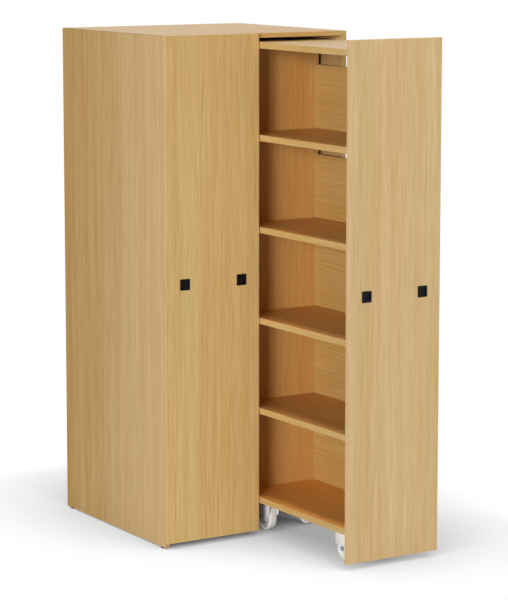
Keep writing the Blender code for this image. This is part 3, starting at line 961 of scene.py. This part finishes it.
class CABINET_OT_wheels(Step):
    """Turn the eight castor wheels"""

    bl_idname = "cabinet.wheels"
    bl_label = "Castor wheels"

    def make(self, scene):
        sizes = scene.cabinet_castors
        nylon = moulded("nylon_wheel", scene.cabinet_fittings.white_plastic, roughness=0.38,
                        texture=0.0014, relief=0.00004)
        wheels = [f"{unit}_castor_{castor}_wheel" for unit in UNITS for castor in CASTORS]
        repeat({wheel: wheel for wheel in wheels}, "_turned", (0.5, 0.5, 0.5), "white_plastic",
               lambda size: self.wheel(size.z / 2, size.x / 2, sizes), nylon)

    def wheel(self, radius, hub_half, sizes):
        """Tread, rim, sunk web and hub in one profile, with small rounds where they meet."""
        half, web = sizes.tread_width / 2, sizes.web / 2
        hub, bore = sizes.hub / 2, sizes.bore / 2
        rim, shoulder = radius - sizes.rim_depth, sizes.tread_round
        brim = rim + (half - web) / 2  # where the rim's slope reaches the wheel's side
        side = [(hub_half - 0.6 * MM, bore), (hub_half, bore + 0.6 * MM),
                (hub_half, hub - 1 * MM), (hub_half - 0.3 * MM, hub - 0.3 * MM),
                (hub_half - 1 * MM, hub), (web + 2 * MM, hub),
                (web + 0.6 * MM, hub + 0.6 * MM), (web, hub + 2 * MM),
                (web, rim - 2 * MM), (web + 0.6 * MM, rim - 0.6 * MM), (web + 2 * MM, rim),
                (half - 0.8 * MM, brim - 0.2 * MM), (half - 0.2 * MM, brim + 0.4 * MM),
                (half, brim + 1.4 * MM)]
        side += arc((half - shoulder, radius - shoulder), shoulder, 0, math.pi / 2, BEND_STEPS)
        profile = side + [(-height, out) for height, out in reversed(side)]
        return turned(bmesh.new(), X, profile, sizes.segments, endless=True)


class CABINET_OT_glides(Step):
    """Mould the four glides under the side panels"""

    bl_idname = "cabinet.glides"
    bl_label = "Glides"

    def make(self, scene):
        plastic = moulded("plastic_glide", scene.cabinet_fittings.black_plastic, roughness=0.5,
                          texture=0.001, relief=0.00003)
        bodies = {f"glide_{end}_{side}": "carcass" for side in UNITS for end in ("front", "rear")}
        repeat(bodies, "_pad", (0.5, 0.5, 0), "black_plastic", self.glide, plastic)

    def glide(self, size):
        """A pad with a round edge, and its stem with a chamfered end."""
        pad, top = size.x / 2, size.z
        thick, stem, end = 5.7 * MM, 3.5 * MM, 2.2 * MM
        profile = [(0, pad - 2 * MM), (0.5 * MM, pad - 0.7 * MM), (1.4 * MM, pad),
                   (5.0 * MM, pad), (5.5 * MM, pad - 0.2 * MM), (thick, pad - 0.8 * MM),
                   (thick, stem), (top - 1.5 * MM, stem), (top, end)]
        return turned(bmesh.new(), Z, profile, steps=40)


class CABINET_OT_stage(Step):
    """Lay the floor and place the light and the camera"""

    bl_idname = "cabinet.stage"
    bl_label = "Floor, light and camera"

    FLOOR_RADIUS, FLOOR_THICKNESS = 150, 0.1
    FLOOR_TONES, FLOOR_CLOUD = (0.99, 1.01), 1.7
    DARKEST = 0.1  # share of its white that the darkest floor keeps
    SIGHT = 500  # how far the camera sees, in metres

    def make(self, scene):
        look = scene.cabinet_stage
        self.floor(look)
        self.world(scene, look)
        self.lamp("key", look.key, look.key_softness, look.key_heading, look.key_height)
        self.lamp("fill", look.fill, look.fill_softness, 0, look.fill_height)
        self.lamp("top", look.top, look.top_softness, 0, math.pi / 2, glare=True)
        self.camera(scene, look)
        scene.view_settings.view_transform = "Standard"

    def seen(self, nodes):
        """1 where the camera, a reflection or glass looks, and 0 for light on its way."""
        rays = [nodes.add("LightPath", output=f"Is {kind} Ray")
                for kind in ("Camera", "Glossy", "Transmission")]
        return rays[0].maths("MAXIMUM", rays[0].maths("MAXIMUM", *rays[:2]), rays[2])

    def floor(self, look):
        """A pale floor whose shadows come from how much open air is over it."""
        outline = circle(self.FLOOR_RADIUS, steps=96)
        floor = raw_piece("floor", slab(Z, outline, -self.FLOOR_THICKNESS, 0))
        material = bpy.data.materials.new("floor_paint")
        material.use_nodes = True
        nodes = Nodes(material.node_tree)
        nodes.tree.nodes.clear()
        place = nodes.add("TexCoord", output="Object")
        cloud = nodes.noise(place / self.FLOOR_CLOUD, detail=3.0)
        tones = (times(look.floor, tone) for tone in self.FLOOR_TONES)
        paint = nodes.add("BsdfDiffuse", values={"Color": nodes.mix(cloud, *tones)})
        level, turn = math.cos(look.cast_height), look.cast_heading
        towards = nodes.add("CombineXYZ", values={0: -level * math.sin(turn),
                                                  1: -level * math.cos(turn),
                                                  2: math.sin(look.cast_height)})
        cast = nodes.add("AmbientOcclusion", values={"Distance": look.cast_reach,
                                                     "Normal": towards}, output=1)
        halo, dark = (nodes.add("AmbientOcclusion", values={"Distance": reach}, output=1)
                      for reach in (look.halo_reach, look.dark_reach))
        hidden = 1 - cast / look.cast_open
        hidden = hidden.maths("MAXIMUM", hidden, 0)
        shade = 1 - hidden ** look.cast_curve * look.cast_share - (1 - halo) * look.halo_share
        open_air = nodes.between(dark, 0, look.dark_limit)
        shade = shade * (open_air * (1 - self.DARKEST) + self.DARKEST)
        glow = nodes.add("Emission", values={"Strength": shade * look.floor_glow})
        shader = nodes.add("MixShader", values={0: self.seen(nodes) * look.floor_share,
                                                1: paint, 2: glow})
        nodes.add("OutputMaterial", values={"Surface": shader})
        floor.data.materials.append(material)

    def world(self, scene, look):
        """Even light from all round, and white wherever it is seen."""
        scene.world = bpy.data.worlds.new("studio")
        scene.world.use_nodes = True
        nodes = Nodes(scene.world.node_tree)
        nodes.tree.nodes.clear()
        sky = nodes.add("Background", values={"Color": (1, 1, 1), "Strength": look.sky})
        white = nodes.add("Background", values={"Color": (1, 1, 1), "Strength": 1.0})
        shader = nodes.add("MixShader", values={0: self.seen(nodes), 1: sky, 2: white})
        nodes.add("OutputWorld", values={"Surface": shader})

    def lamp(self, name, strength, softness, heading, height, glare=False):
        """A far lamp that shines from a heading left of straight ahead, and from a height.

        Without glare it doesn't shine white off the flat top when that is seen from behind.
        """
        light = bpy.data.lights.new(name, "SUN")
        light.energy = strength
        light.angle = softness
        lamp = placed(name, light)
        lamp.rotation_euler = (math.pi / 2 - height, 0, -heading)
        lamp.visible_glossy = glare

    def camera(self, scene, look):
        """A camera with a long, shifted lens."""
        lens = bpy.data.cameras.new("camera")
        lens.lens = look.camera_lens
        lens.shift_y = look.camera_shift
        lens.clip_end = self.SIGHT
        scene.camera = placed("camera", lens, look.camera_place)
        scene.camera.rotation_euler = (math.pi / 2 - look.camera_tilt, 0, -look.camera_heading)


STEPS = (CABINET_OT_carcass, CABINET_OT_fronts, CABINET_OT_shelves, CABINET_OT_guides,
         CABINET_OT_pulls, CABINET_OT_forks, CABINET_OT_wheels, CABINET_OT_glides,
         CABINET_OT_stage)
LOOKS = {"cabinet_beech": BeechLook, "cabinet_fittings": FittingLook,
         "cabinet_castors": CastorSizes, "cabinet_stage": StageLook}


class CABINET_PT_sidebar(bpy.types.Panel):
    """The cabinet's looks and the steps that make them"""

    bl_idname = "CABINET_PT_sidebar"
    bl_label = "Pull-out cabinet"
    bl_space_type = "VIEW_3D"
    bl_region_type = "UI"
    bl_category = "Cabinet"

    def draw(self, context):
        for name, group in LOOKS.items():
            box = self.layout.box()
            box.label(text=group.__doc__)
            for setting in group.__annotations__:
                box.prop(getattr(context.scene, name), setting)
        for step in STEPS:
            self.layout.operator(step.bl_idname)


def register():
    for group in LOOKS.values():
        bpy.utils.register_class(group)
    for name, group in LOOKS.items():
        setattr(bpy.types.Scene, name, PointerProperty(type=group))
    for step in STEPS:
        bpy.utils.register_class(step)
    bpy.utils.register_class(CABINET_PT_sidebar)


def unregister():
    bpy.utils.unregister_class(CABINET_PT_sidebar)
    for step in reversed(STEPS):
        bpy.utils.unregister_class(step)
    for name, group in LOOKS.items():
        delattr(bpy.types.Scene, name)
        bpy.utils.unregister_class(group)


def main():
    register()
    for step in STEPS:
        group, name = step.bl_idname.split(".")
        getattr(getattr(bpy.ops, group), name)()


if __name__ == "__main__":
    main()
